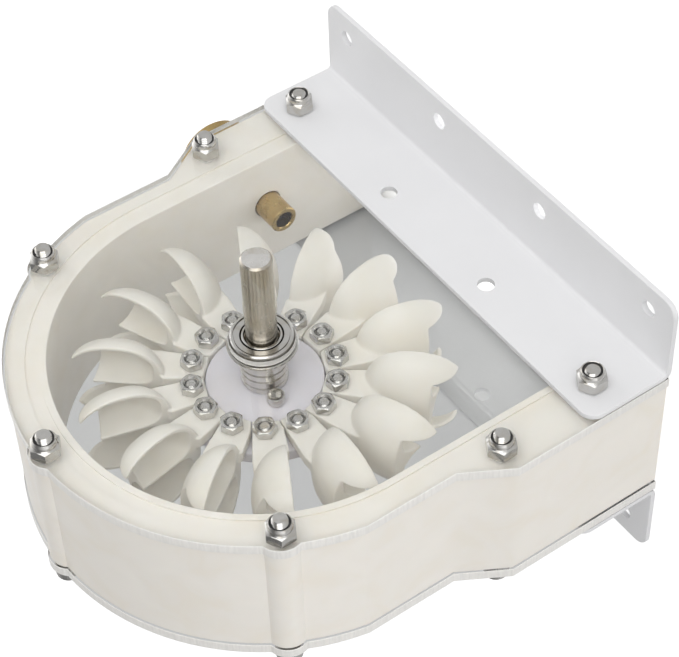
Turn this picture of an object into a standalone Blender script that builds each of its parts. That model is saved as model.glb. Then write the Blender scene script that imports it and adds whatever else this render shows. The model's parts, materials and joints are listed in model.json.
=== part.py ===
"""Small Pelton water turbine: a white open-ended housing between two clear covers, two steel
angles that it stands on, a brass nozzle, and a runner of fourteen double-cup buckets bolted to
a disc on an 8 mm shaft.

Everything is drawn face on, in metres: x to the right, y up from the shaft's axis, z out of the
front cover's outer face towards the viewer. The empty turbine_frame stands that drawing up, so
that the two angles' flanges rest on the floor and the shaft lies level."""

import math

import bmesh
import bpy
from mathutils import Matrix, Vector

# Fits between pieces
gap = 0.0003

# Where the drawing stands in the world
shaft_height = 0.0717
front_face_y = 0.0125

# Housing wall and clear covers, drawn about the shaft's axis
cover_radius = 0.0642
cover_half_waist = 0.0628
cover_half_width = 0.0703
waist_end_y = -0.0123
shoulder_y = -0.0250
open_end_y = -0.0712
cover_thickness = 0.003
cover_overhang = 0.0005
wall_height = 0.037
wall_inner_radius = 0.0534
boss_centre_radius = 0.060
boss_radius = 0.006
rear_face_z = -(2 * cover_thickness + wall_height)

# Seal groove in both faces of the wall
groove_inner_radius = 0.0553
groove_outer_radius = 0.0587
groove_depth = 0.0008

# Tie bolts, M4 by 50
bolt_radius = 0.002
bolt_length = 0.050
bolt_hole_radius = 0.00225
bolt_head_radius = 0.0035
bolt_head_height = 0.004
bolt_socket_across = 0.003
bolt_socket_depth = 0.002
nut_across = 0.007
nut_hex_height = 0.0032
nut_height = 0.005
nut_collar_radius = 0.0031
rim_bolt_radius = 0.0615
rim_bolt_angles = (30.0, 90.0, 150.0)
shoulder_bolt = (0.0636, -0.0249)
leg_bolt_y = -0.0540

# Steel angles
angle_thickness = 0.0015
angle_leg = 0.0253
angle_flange = 0.025
angle_bend_radius = 0.0025
angle_corner_radius = 0.004
angle_hole_radius = 0.00225
hole_pitch = 0.041
flange_hole_z = 0.0179

# Flanged bearings, 8 by 16 by 5 with an 18 mm flange
bearing_outer_radius = 0.008
bearing_flange_radius = 0.009
bearing_flange_thickness = 0.0011
bearing_height = 0.005
bearing_proud = 0.0009
bearing_race_radius = 0.0055
bearing_inner_radius = 0.0052

# Shaft and hub
shaft_radius = 0.004
shaft_bore = shaft_radius + 0.0002
shaft_front_z = 0.0279
shaft_rear_z = rear_face_z - 0.0020
shaft_chamfer = 0.0005
hub_radius = 0.006
hub_groove_depth = 0.0004
hub_groove_width = 0.0005
hub_groove_tops = (-0.0096, -0.0118, -0.0143)
hub_screw_circle = 0.0089
hub_screw_angle = 165.0
hub_screw_head_radius = 0.00225
hub_screw_head_height = 0.0025
hub_screw_socket_across = 0.002
hub_screw_socket_depth = 0.0013

# Runner
bucket_count = 14
runner_phase = 17.6
runner_mid_z = -0.0195
bucket_bolt_circle = 0.01876
runner_bolt_hole = 0.0016
stem_top_z = -0.0154
stem_thickness = 0.0035
disc_radius = 0.0230
disc_thickness = 0.0035
disc_top_z = stem_top_z - stem_thickness - gap
disc_boss_radius = 0.0148
disc_boss_z = -0.0165

# Bucket's stem, seen from the front along +x: it leads towards +y and has a straight back
stem_inner_radius = 0.0152
stem_touch_radius = 0.0176
stem_root_radius = 0.0252
stem_neck_radius = 0.0280
stem_end_radius = 0.0325
stem_back_y = -0.0032
stem_end_y = -0.0026
stem_inner_y = 0.00343
stem_touch_y = 0.0046
stem_root_y = 0.0059

# Bucket's double cup, about a centre on the runner's middle plane
cup_lead = 0.0028
cup_turn = 5.1
cup_centre = 0.0370
cup_half_length = 0.0123
cup_half_width = 0.0132
cup_depth = 0.0098
bowl_half_length = 0.0110
bowl_half_width = 0.00585
bowl_depth = 0.0072
bowl_lift = 0.0002
ridge_half_width = 0.0004
notch_radius = 0.0437
notch_half_width = 0.0097

# Nozzle
nozzle_y = -0.0370
nozzle_z = runner_mid_z
nozzle_radius = 0.0039
nozzle_bore_radius = 0.0025
nozzle_tip_x = 0.0454
nozzle_seat_x = 0.0600
fitting_shank_radius = 0.0066
fitting_radius = 0.0104
fitting_end_x = 0.0820
fitting_bore_radius = 0.0075
fitting_floor_x = 0.0740


def material(name, colour, roughness, metallic=0.0, alpha=1.0):
    made = bpy.data.materials.new(name)
    made.use_nodes = True
    shader = made.node_tree.nodes["Principled BSDF"]
    shader.inputs["Base Color"].default_value = (*colour, 1.0)
    shader.inputs["Roughness"].default_value = roughness
    shader.inputs["Metallic"].default_value = metallic
    shader.inputs["Alpha"].default_value = alpha
    made.diffuse_color = (*colour, alpha)
    return made


def circle_points(centre_x, centre_y, radius, segments, turn=0.0):
    """Points round a full circle, in drawing coordinates."""
    steps = (turn + math.tau * i / segments for i in range(segments))
    return [(centre_x + radius * math.cos(a), centre_y + radius * math.sin(a)) for a in steps]


def arc_points(centre_x, centre_y, radius, start, end, segments):
    """Points along an arc between two angles in degrees, ends included."""
    points = []
    for i in range(segments + 1):
        a = math.radians(start + (end - start) * i / segments)
        points.append((centre_x + radius * math.cos(a), centre_y + radius * math.sin(a)))
    return points


def boss_arc(angle, radius, boss):
    """The bulge round one rim bolt, from where its circle leaves the wall's to where it meets
    it again, and half the angle between those two points as the shaft sees it."""
    square = radius**2 + boss_centre_radius**2 - boss**2
    half = math.degrees(math.acos(square / (2 * radius * boss_centre_radius)))
    meet = radius * math.sin(math.radians(half))
    spread = math.degrees(math.asin(meet / boss))
    centre = Vector((math.cos(math.radians(angle)), math.sin(math.radians(angle))))
    centre *= boss_centre_radius
    points = arc_points(centre.x, centre.y, boss, angle - spread, angle + spread, 6)
    return points, half


def outer_outline(inset):
    """The covers' outline, or with an inset the wall's, from the open end on the right round
    over the top to the open end on the left."""
    radius = cover_radius - inset
    boss = boss_radius - inset
    waist = cover_half_waist - inset
    shoulder = cover_half_width - inset
    start = math.degrees(math.acos(waist / radius))
    points = [(shoulder, open_end_y), (shoulder, shoulder_y), (waist, waist_end_y)]
    angle = start
    for bolt_angle in rim_bolt_angles:
        bulge, half = boss_arc(bolt_angle, radius, boss)
        points += arc_points(0, 0, radius, angle, bolt_angle - half, 8)[:-1]
        points += bulge
        angle = bolt_angle + half
    points += arc_points(0, 0, radius, angle, 180 - start, 8)[1:]
    points += [(-waist, waist_end_y), (-shoulder, shoulder_y), (-shoulder, open_end_y)]
    return points


def channel_outline(radius, end_y):
    """The inside of the wall at a given radius, from the left open end to the right one."""
    return [(-radius, end_y)] + arc_points(0, 0, radius, 180, 0, 28) + [(radius, end_y)]


def plate_mesh(outlines, low_z, high_z):
    """A flat plate with any holes: closed outlines filled as a curve and extruded."""
    curve = bpy.data.curves.new("outline", "CURVE")
    curve.dimensions = "2D"
    curve.fill_mode = "BOTH"
    curve.extrude = (high_z - low_z) / 2
    for outline in outlines:
        spline = curve.splines.new("POLY")
        spline.points.add(len(outline) - 1)
        for point, (x, y) in zip(spline.points, outline):
            point.co = (x, y, 0, 1)
        spline.use_cyclic_u = True
    holder = bpy.data.objects.new("outline", curve)
    bpy.context.scene.collection.objects.link(holder)
    graph = bpy.context.evaluated_depsgraph_get()
    mesh = bpy.data.meshes.new_from_object(holder.evaluated_get(graph))
    bpy.data.objects.remove(holder)
    bpy.data.curves.remove(curve)
    bm = bmesh.new()
    bm.from_mesh(mesh)
    bmesh.ops.remove_doubles(bm, verts=bm.verts, dist=1e-6)
    bmesh.ops.translate(bm, verts=bm.verts, vec=(0, 0, (low_z + high_z) / 2))
    bmesh.ops.recalc_face_normals(bm, faces=bm.faces)
    bm.to_mesh(mesh)
    bm.free()
    return mesh


def cylinder_mesh(radius, low_z, high_z, segments, centre=(0, 0), turn=0.0, along_x=False):
    """A closed cylinder or prism along z, or along x where that is asked for."""
    bm = bmesh.new()
    bmesh.ops.create_cone(
        bm,
        cap_ends=True,
        segments=segments,
        radius1=radius,
        radius2=radius,
        depth=high_z - low_z,
        matrix=Matrix.Translation((0, 0, (low_z + high_z) / 2)) @ Matrix.Rotation(turn, 4, "Z"),
    )
    if along_x:
        bmesh.ops.rotate(bm, verts=bm.verts, matrix=Matrix.Rotation(math.pi / 2, 3, "Y"))
    else:
        bmesh.ops.translate(bm, verts=bm.verts, vec=(*centre, 0))
    return finished(bm)


def hexagon_mesh(across, low_z, high_z, centre=(0, 0)):
    return cylinder_mesh(across / math.sqrt(3), low_z, high_z, 6, centre)


def turned_mesh(profile, steps):
    """A solid turned about z by a Screw modifier, from a profile of (radius, z) points that
    runs down its outer side."""
    holder_mesh = bpy.data.meshes.new("profile")
    closed = profile[0][0] > 0
    edges = [(i, i + 1) for i in range(len(profile) - 1)]
    if closed:
        edges.append((len(profile) - 1, 0))
    holder_mesh.from_pydata([(radius, 0, z) for radius, z in profile], edges, [])
    holder = bpy.data.objects.new("profile", holder_mesh)
    bpy.context.scene.collection.objects.link(holder)
    screw = holder.modifiers.new("Screw", "SCREW")
    screw.steps = screw.render_steps = steps
    screw.use_merge_vertices = True
    screw.merge_threshold = 1e-5
    screw.use_smooth_shade = False
    graph = bpy.context.evaluated_depsgraph_get()
    mesh = bpy.data.meshes.new_from_object(holder.evaluated_get(graph))
    bpy.data.objects.remove(holder)
    bpy.data.meshes.remove(holder_mesh)
    return mesh


def finished(bm):
    """A mesh from this bmesh, with its faces pointing out."""
    bm.normal_update()
    bmesh.ops.recalc_face_normals(bm, faces=bm.faces)
    mesh = bpy.data.meshes.new("shape")
    bm.to_mesh(mesh)
    bm.free()
    return mesh


def combined(base, others, operation):
    """The base mesh after a Boolean with each of the others, made on helper objects."""
    holder = bpy.data.objects.new("base", base)
    bpy.context.scene.collection.objects.link(holder)
    helpers = []
    for other in others:
        helper = bpy.data.objects.new("helper", other)
        bpy.context.scene.collection.objects.link(helper)
        boolean = holder.modifiers.new("Boolean", "BOOLEAN")
        boolean.operation = operation
        boolean.object = helper
        helpers.append(helper)
    graph = bpy.context.evaluated_depsgraph_get()
    mesh = bpy.data.meshes.new_from_object(holder.evaluated_get(graph))
    for helper in helpers + [holder]:
        used = helper.data
        bpy.data.objects.remove(helper)
        bpy.data.meshes.remove(used)
    return mesh


def cut(base, *cutters):
    return combined(base, cutters, "DIFFERENCE")


def joined(base, *others):
    return combined(base, others, "UNION")


def place(name, mesh, look, parent, turn=0.0):
    """One named object of the turbine, at its parent's origin, turned about z in degrees."""
    mesh.name = name
    mesh.materials.clear()
    mesh.materials.append(look)
    mesh.shade_smooth()
    mesh.set_sharp_from_angle(angle=math.radians(35))
    made = bpy.data.objects.new(name, mesh)
    made.parent = parent
    made.rotation_euler = (0, 0, math.radians(turn))
    bpy.data.collections["pelton_wheel"].objects.link(made)
    return made


def rim_bolt_places():
    places = []
    for angle in rim_bolt_angles:
        a = math.radians(angle)
        places.append((rim_bolt_radius * math.cos(a), rim_bolt_radius * math.sin(a)))
    x, y = shoulder_bolt
    return places + [(x, y), (-x, y)]


def leg_bolt_places():
    return [(1.5 * hole_pitch, leg_bolt_y), (-1.5 * hole_pitch, leg_bolt_y)]


def bolt_holes(places):
    return [circle_points(x, y, bolt_hole_radius, 12) for x, y in places]


def housing_wall_mesh():
    top = -cover_thickness - gap
    bottom = rear_face_z + cover_thickness + gap
    outline = outer_outline(cover_overhang) + channel_outline(wall_inner_radius, open_end_y)
    wall = plate_mesh([outline] + bolt_holes(rim_bolt_places() + leg_bolt_places()), bottom, top)
    past_end = open_end_y - 0.002
    band = channel_outline(groove_outer_radius, past_end)
    band += channel_outline(groove_inner_radius, past_end)[::-1]
    front_groove = plate_mesh([band], top - groove_depth, top + 0.001)
    rear_groove = plate_mesh([band], bottom - 0.001, bottom + groove_depth)
    seat = cylinder_mesh(fitting_shank_radius + gap, nozzle_seat_x, 0.08, 20, along_x=True)
    bore = cylinder_mesh(nozzle_radius + gap, 0.04, 0.08, 16, along_x=True)
    for cutter in (seat, bore):
        cutter.transform(Matrix.Translation((0, nozzle_y, nozzle_z)))
    return cut(wall, front_groove, rear_groove, bore, seat)


def cover_mesh(front):
    low = -cover_thickness if front else rear_face_z
    holes = bolt_holes(rim_bolt_places() + leg_bolt_places())
    holes.append(circle_points(0, 0, bearing_outer_radius + gap, 32))
    return plate_mesh([outer_outline(0)] + holes, low, low + cover_thickness)


def angle_mesh():
    """The front steel angle: its leg lies on the cover, its flange stands out along z and is
    flush with the floor. The rear one is this one mirrored."""
    floor_y = -shaft_height
    inner = angle_bend_radius - angle_thickness
    bend_y = floor_y + angle_bend_radius
    low = gap
    bend_z = low + angle_bend_radius
    section = [(floor_y + angle_leg, low + angle_thickness), (floor_y + angle_leg, low)]
    section += arc_points(bend_y, bend_z, angle_bend_radius, 270, 180, 4)
    section += [(floor_y, angle_flange), (floor_y + angle_thickness, angle_flange)]
    section += arc_points(bend_y, bend_z, inner, 180, 270, 4)
    bm = bmesh.new()
    ring = [bm.verts.new((-cover_half_width, y, z)) for y, z in section]
    face = bm.faces.new(ring)
    grown = bmesh.ops.extrude_face_region(bm, geom=[face])
    moved = [item for item in grown["geom"] if isinstance(item, bmesh.types.BMVert)]
    bmesh.ops.translate(bm, verts=moved, vec=(2 * cover_half_width, 0, 0))
    corners = [edge for edge in bm.edges if is_free_corner(edge, floor_y)]
    bmesh.ops.bevel(
        bm,
        geom=corners,
        offset=angle_corner_radius,
        segments=4,
        profile=0.5,
        affect="EDGES",
        material=-1,
    )
    body = finished(bm)
    holes = []
    for i in range(4):
        x = (i - 1.5) * hole_pitch
        holes.append(cylinder_mesh(angle_hole_radius, -0.002, 0.004, 12, (x, leg_bolt_y)))
        drill = cylinder_mesh(angle_hole_radius, -0.003, 0.003, 12)
        drill.transform(Matrix.Rotation(math.pi / 2, 4, "X"))
        drill.transform(Matrix.Translation((x, floor_y, flange_hole_z)))
        holes.append(drill)
    return cut(body, *holes)


def is_free_corner(edge, floor_y):
    """Whether an edge is one of the four short corner edges that get rounded off."""
    one, other = (vert.co for vert in edge.verts)
    if abs(one.x - other.x) > 1e-6:
        return False
    at_leg_edge = all(abs(co.y - floor_y - angle_leg) < 1e-6 for co in (one, other))
    at_flange_edge = all(abs(co.z - angle_flange) < 1e-6 for co in (one, other))
    return at_leg_edge or at_flange_edge


def mirrored(mesh):
    """A mesh mirrored from the front of the housing to its rear."""
    twin = mesh.copy()
    twin.transform(Matrix.Translation((0, 0, rear_face_z)) @ Matrix.Scale(-1, 4, (0, 0, 1)))
    twin.flip_normals()
    return twin


def tie_bolt_mesh(seat_z, head_z):
    """A socket-head bolt with its lock nut on. The nut stands on seat_z and the head hangs
    from head_z."""
    low = head_z - gap
    base = seat_z + gap
    shank = cylinder_mesh(bolt_radius, low, low + bolt_length, 12)
    head = cylinder_mesh(bolt_head_radius, low - bolt_head_height, low, 16)
    nut = hexagon_mesh(nut_across, base, base + nut_hex_height)
    collar = cylinder_mesh(nut_collar_radius, base + 0.001, base + nut_height, 16)
    socket = hexagon_mesh(
        bolt_socket_across, low - bolt_head_height - 0.001, low - bolt_head_height + bolt_socket_depth
    )
    return cut(joined(shank, head, nut, collar), socket)


def bearing_outer_mesh():
    """The outer race and shield of the front bearing, whose flange bears on the cover from
    inside."""
    top = bearing_proud
    bottom = top - bearing_height
    flange_top = min(bottom + bearing_flange_thickness, -cover_thickness - gap)
    profile = [
        (bearing_outer_radius, top),
        (bearing_outer_radius, flange_top),
        (bearing_flange_radius, flange_top),
        (bearing_flange_radius, bottom),
        (bearing_race_radius, bottom),
        (bearing_race_radius, top),
    ]
    return turned_mesh(profile, 32)


def bearing_inner_mesh():
    top = bearing_proud
    bottom = top - bearing_height
    profile = [
        (bearing_inner_radius, top),
        (bearing_inner_radius, bottom),
        (shaft_bore, bottom),
        (shaft_bore, top),
    ]
    return turned_mesh(profile, 24)


def shaft_mesh():
    profile = [
        (0, shaft_front_z),
        (shaft_radius - shaft_chamfer, shaft_front_z),
        (shaft_radius, shaft_front_z - shaft_chamfer),
        (shaft_radius, shaft_rear_z + shaft_chamfer),
        (shaft_radius - shaft_chamfer, shaft_rear_z),
        (0, shaft_rear_z),
    ]
    return turned_mesh(profile, 24)


def hub_mesh():
    """The metal sleeve between the disc and the front bearing, with three turned grooves."""
    top = bearing_proud - bearing_height - gap
    bottom = disc_boss_z + gap
    profile = [(hub_radius, top)]
    for z in hub_groove_tops:
        profile += [
            (hub_radius, z),
            (hub_radius - hub_groove_depth, z),
            (hub_radius - hub_groove_depth, z - hub_groove_width),
            (hub_radius, z - hub_groove_width),
        ]
    profile += [(hub_radius, bottom), (shaft_bore, bottom), (shaft_bore, top)]
    return turned_mesh(profile, 24)


def rear_spacer_mesh():
    """The plain sleeve that keeps the disc off the rear bearing."""
    top = disc_top_z - disc_thickness - gap
    bottom = rear_face_z - bearing_proud + bearing_height + gap
    profile = [(hub_radius, top), (hub_radius, bottom), (shaft_bore, bottom), (shaft_bore, top)]
    return turned_mesh(profile, 24)


def disc_mesh():
    """The runner's disc with its thicker middle and the buckets' bolt holes."""
    outlines = [circle_points(0, 0, disc_radius, 56)]
    for i in range(bucket_count):
        a = math.radians(runner_phase + 360 * i / bucket_count)
        x = bucket_bolt_circle * math.cos(a)
        y = bucket_bolt_circle * math.sin(a)
        outlines.append(circle_points(x, y, runner_bolt_hole, 8))
    bottom = disc_top_z - disc_thickness
    plate = plate_mesh(outlines, bottom, disc_top_z)
    boss = cylinder_mesh(disc_boss_radius, disc_top_z - disc_thickness / 2, disc_boss_z, 56)
    bore = cylinder_mesh(shaft_bore, bottom - 0.001, disc_boss_z + 0.001, 24)
    return cut(joined(plate, boss), bore)


def hub_screw_mesh():
    """The head of a socket screw standing on the disc's middle beside the hub."""
    low = disc_boss_z + gap
    top = low + hub_screw_head_height
    head = cylinder_mesh(hub_screw_head_radius, low, top, 16, (hub_screw_circle, 0))
    socket = hexagon_mesh(
        hub_screw_socket_across, top - hub_screw_socket_depth, top + 0.001, (hub_screw_circle, 0)
    )
    return cut(head, socket)


def cup_solid(centre, axial, half_length, half_width, depth, flat_side, segments, rings):
    """A closed egg whose outline in the rim plane is a rounded rectangle: x runs out along the
    bucket, y is its depth and z is across the runner. A flat_side of 1 or -1 squares the outline
    off towards the ridge, and 0 leaves it round."""
    bm = bmesh.new()
    bmesh.ops.create_uvsphere(bm, u_segments=segments, v_segments=rings, radius=1.0)
    for vert in bm.verts:
        flat = math.hypot(vert.co.x, vert.co.y)
        tangential = vert.co.z * depth
        if flat < 1e-9:
            vert.co = (centre, tangential, axial)
            continue
        cosine = vert.co.x / flat
        sine = vert.co.y / flat
        power = 4.5 if flat_side * sine < 0 else 2.3
        reach = (abs(cosine / half_length) ** power + abs(sine / half_width) ** power) ** (-1 / power)
        vert.co = (centre + cosine * reach * flat, tangential, axial + sine * reach * flat)
    return finished(bm)


def bucket_mesh():
    """One bucket about the shaft's axis, its stem along +x and its double cup opening towards
    +y. Its rim lies in a plane that leads the shaft's axis and is turned a little further."""
    rim = Matrix.Translation((0, cup_lead, 0)) @ Matrix.Rotation(math.radians(cup_turn), 4, "Z")
    shell = cup_solid(cup_centre, 0, cup_half_length, cup_half_width, cup_depth, 0, 24, 10)
    above_rim = box_mesh((0.02, 0, -0.02), (0.06, 0.02, 0.02))
    notch = box_mesh((notch_radius, -0.02, -notch_half_width), (0.06, 0.02, notch_half_width))
    bowls = []
    for side in (1, -1):
        axial = side * (bowl_half_width + ridge_half_width)
        bowl = cup_solid(
            cup_centre, axial, bowl_half_length, bowl_half_width, bowl_depth, side, 16, 10
        )
        bowl.transform(Matrix.Translation((0, bowl_lift, 0)))
        bowls.append(bowl)
    for shape in [shell, above_rim, notch] + bowls:
        shape.transform(rim)
    low = stem_top_z - stem_thickness - runner_mid_z
    stem = plate_mesh([stem_outline()], low, stem_top_z - runner_mid_z)
    bolt_hole = cylinder_mesh(runner_bolt_hole, -0.01, 0.02, 8, (bucket_bolt_circle, 0))
    return cut(joined(cut(shell, above_rim), stem), *bowls, notch, bolt_hole)


def stem_outline():
    """The stem from the front: neighbours all but touch near the hub and part further out."""
    front = [(stem_inner_radius, stem_inner_y), (stem_touch_radius, stem_touch_y)]
    front.append((stem_root_radius, stem_root_y))
    end = [(stem_end_radius, 0.0), (stem_end_radius, stem_end_y)]
    return front + end + [(stem_neck_radius, stem_back_y), (stem_inner_radius, stem_back_y)]


def box_mesh(low, high):
    bm = bmesh.new()
    size = Vector(high) - Vector(low)
    middle = (Vector(high) + Vector(low)) / 2
    bmesh.ops.create_cube(bm, size=1, matrix=Matrix.Translation(middle) @ Matrix.Diagonal((*size, 1)))
    return finished(bm)


def nozzle_tube_mesh():
    tube = cylinder_mesh(nozzle_radius, nozzle_tip_x, nozzle_seat_x - gap, 20, along_x=True)
    bore = cylinder_mesh(nozzle_bore_radius, 0.03, 0.09, 16, along_x=True)
    mesh = cut(tube, bore)
    mesh.transform(Matrix.Translation((0, nozzle_y, nozzle_z)))
    return mesh


def nozzle_fitting_mesh():
    """The threaded brass stub outside the wall, with the shank that screws into it."""
    seat = nozzle_seat_x
    face = cover_half_width + gap
    stub = cylinder_mesh(fitting_radius, face, fitting_end_x, 28, along_x=True)
    shank = cylinder_mesh(fitting_shank_radius, seat, face + 0.001, 20, along_x=True)
    bore = cylinder_mesh(nozzle_bore_radius, 0.03, 0.09, 16, along_x=True)
    mouth = cylinder_mesh(fitting_bore_radius, fitting_floor_x, 0.09, 24, along_x=True)
    mesh = cut(joined(stub, shank), bore, mouth)
    mesh.transform(Matrix.Translation((0, nozzle_y, nozzle_z)))
    return mesh


def clear_scene():
    for item in list(bpy.data.objects):
        bpy.data.objects.remove(item)


def empty(name, parent=None):
    made = bpy.data.objects.new(name, None)
    made.empty_display_size = 0.02
    made.parent = parent
    bpy.data.collections["pelton_wheel"].objects.link(made)
    return made


def build_housing(frame):
    white = material("white_plastic", (0.83, 0.80, 0.73), 0.45)
    clear = material("clear_acrylic", (0.93, 0.95, 0.95), 0.05, alpha=0.25)
    paint = material("white_paint", (0.80, 0.81, 0.83), 0.4)
    brass = material("brass", (0.72, 0.52, 0.22), 0.3, 1.0)
    steel = material("bright_steel", (0.62, 0.61, 0.59), 0.25, 1.0)
    place("housing_wall", housing_wall_mesh(), white, frame)
    place("front_cover", cover_mesh(True), clear, frame)
    place("rear_cover", cover_mesh(False), clear, frame)
    front_angle = angle_mesh()
    place("rear_angle_bracket", mirrored(front_angle), paint, frame)
    place("front_angle_bracket", front_angle, paint, frame)
    place("nozzle_tube", nozzle_tube_mesh(), brass, frame)
    place("nozzle_fitting", nozzle_fitting_mesh(), brass, frame)
    outer_race = bearing_outer_mesh()
    place("rear_bearing_outer_race", mirrored(outer_race), steel, frame)
    place("front_bearing_outer_race", outer_race, steel, frame)
    rim_bolt = tie_bolt_mesh(0, rear_face_z)
    rim_names = ("upper_right", "top", "upper_left", "lower_right", "lower_left")
    for name, (x, y) in zip(rim_names, rim_bolt_places()):
        bolt = place(f"tie_bolt_{name}", rim_bolt, steel, frame)
        bolt.location = (x, y, 0)
    metal = angle_thickness + gap
    leg_bolt = tie_bolt_mesh(metal, rear_face_z - metal)
    for name, (x, y) in zip(("right", "left"), leg_bolt_places()):
        bolt = place(f"bracket_bolt_{name}", leg_bolt, steel, frame)
        bolt.location = (x, y, 0)


def build_runner(axis):
    white = material("runner_plastic", (0.84, 0.81, 0.74), 0.4)
    steel = material("shaft_steel", (0.60, 0.57, 0.53), 0.3, 1.0)
    place("shaft", shaft_mesh(), steel, axis)
    place("hub_sleeve", hub_mesh(), steel, axis)
    place("rear_spacer", rear_spacer_mesh(), steel, axis)
    inner_race = bearing_inner_mesh()
    place("rear_bearing_inner_race", mirrored(inner_race), steel, axis)
    place("front_bearing_inner_race", inner_race, steel, axis)
    place("runner_disc", disc_mesh(), white, axis)
    screw = hub_screw_mesh()
    place("hub_screw_1", screw, steel, axis, hub_screw_angle)
    place("hub_screw_2", screw, steel, axis, hub_screw_angle + 180)
    bucket = bucket_mesh()
    for i in range(bucket_count):
        turn = runner_phase + 360 * i / bucket_count
        made = place(f"bucket_{i + 1:02d}", bucket, white, axis, turn)
        made.location = (0, 0, runner_mid_z)


def main():
    clear_scene()
    group = bpy.data.collections.new("pelton_wheel")
    bpy.context.scene.collection.children.link(group)
    frame = empty("turbine_frame")
    frame.location = (0, front_face_y, shaft_height)
    frame.rotation_euler = (math.pi / 2, 0, 0)
    axis = empty("runner_axis", frame)
    build_housing(frame)
    build_runner(axis)


main()
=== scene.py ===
"""Small Pelton water turbine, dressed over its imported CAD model.

Every piece is drawn face on, in metres: x to the right, y up from the shaft's axis, z out of the
front cover's outer face towards the viewer. The matrix stand puts that drawing into the world,
where the shaft lies level and the two steel angles stand on the floor."""

import json
from math import acos, asin, atan2, ceil, cos, hypot, pi, radians, sin, sqrt, tau

import bmesh
import bpy
from bpy.props import FloatProperty, FloatVectorProperty, IntProperty, PointerProperty
from bpy.types import Operator, Panel, PropertyGroup
from mathutils import Matrix, Vector


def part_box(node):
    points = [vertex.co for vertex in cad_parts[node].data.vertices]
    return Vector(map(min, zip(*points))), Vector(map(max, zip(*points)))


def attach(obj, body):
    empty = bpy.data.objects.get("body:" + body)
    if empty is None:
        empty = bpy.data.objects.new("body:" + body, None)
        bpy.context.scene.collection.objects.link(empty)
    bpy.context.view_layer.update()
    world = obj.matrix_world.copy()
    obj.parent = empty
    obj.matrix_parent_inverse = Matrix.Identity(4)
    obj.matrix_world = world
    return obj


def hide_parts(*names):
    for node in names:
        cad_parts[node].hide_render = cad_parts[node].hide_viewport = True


bl_info = {
    "name": "Pelton wheel turbine",
    "version": (1, 0, 0),
    "blender": (4, 5, 0),
    "location": "View3D > Sidebar > Turbine",
    "description": "Builds the turbine's pieces, finishes and studio over its CAD frame",
    "category": "Add Mesh",
}

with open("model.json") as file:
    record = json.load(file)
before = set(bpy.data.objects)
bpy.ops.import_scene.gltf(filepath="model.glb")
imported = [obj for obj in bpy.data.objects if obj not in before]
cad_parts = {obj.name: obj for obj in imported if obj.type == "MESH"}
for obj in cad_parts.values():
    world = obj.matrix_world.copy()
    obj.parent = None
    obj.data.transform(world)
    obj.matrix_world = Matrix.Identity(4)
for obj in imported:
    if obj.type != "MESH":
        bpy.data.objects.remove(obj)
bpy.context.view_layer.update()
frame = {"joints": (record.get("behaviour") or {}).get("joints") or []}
shaft_axis = Vector(frame["joints"][0]["pos_m"])
front_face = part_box("front_cover")[0].y


def laid(x, y, z, angle, axis):
    """Turned about an axis and then put in its place."""
    return Matrix.Translation((x, y, z)) @ Matrix.Rotation(angle, 4, axis)


quarter = pi / 2
stand = laid(shaft_axis.x, front_face, shaft_axis.z, quarter, "X")
mirror = Matrix.Scale(-1, 4, (0, 0, 1))
same_place = 1e-6  # metres: points nearer than this are one
hair = 0.0001  # metres: the step of the finest chamfers and gaps


def distance(about, metres):
    return FloatProperty(
        description=about, default=metres, unit="LENGTH", subtype="DISTANCE", precision=5
    )


def degrees(about, value):
    return FloatProperty(description=about, default=radians(value), unit="ROTATION", subtype="ANGLE")


def colour(about, value):
    return FloatVectorProperty(description=about, default=value, subtype="COLOR", min=0.0, max=1.0)


def place(about, value):
    return FloatVectorProperty(
        description=about, default=value, unit="LENGTH", subtype="XYZ", precision=5
    )


def strength(about, value, unit="NONE"):
    return FloatProperty(description=about, default=value, min=0.0, unit=unit)


def named(group):
    """Names each property of a group after its key."""
    for key, prop in group.__annotations__.items():
        prop.keywords["name"] = key.replace("_", " ").capitalize()
    return group


@named
class TurbineHousing(PropertyGroup):
    cover_radius: distance("Round part of both clear covers", 0.0642)
    half_waist: distance("Half width just below the round part", 0.0628)
    half_width: distance("Half width at the open end", 0.0703)
    waist_end: distance("Height where the sides start to flare", -0.0123)
    shoulder: distance("Height where the sides run straight again", -0.0250)
    open_end: distance("Height of the open end", -0.0712)
    cover_thickness: distance("Each clear sheet", 0.003)
    cover_overhang: distance("How far the covers stand past the wall", 0.0005)
    wall_height: distance("Depth of the wall between the covers", 0.037)
    wall_radius: distance("Inside of the wall", 0.0534)
    boss_reach: distance("Centre of the bulges round the rim bolts", 0.060)
    boss_radius: distance("Those bulges", 0.006)
    groove_inner: distance("Inner radius of the seal groove", 0.0553)
    groove_outer: distance("Outer radius of the seal groove", 0.0587)
    groove_depth: distance("Depth of the seal groove", 0.0005)
    fit: distance("Room between pieces that touch", 0.0003)
    seam: distance("Seam between the wall and the covers", 0.00004)
    soft_edge: distance("Rounding of the wall's moulded edges", 0.00035)
    sheet_edge: distance("Chamfer on the covers' cut edges", 0.00015)


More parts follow.
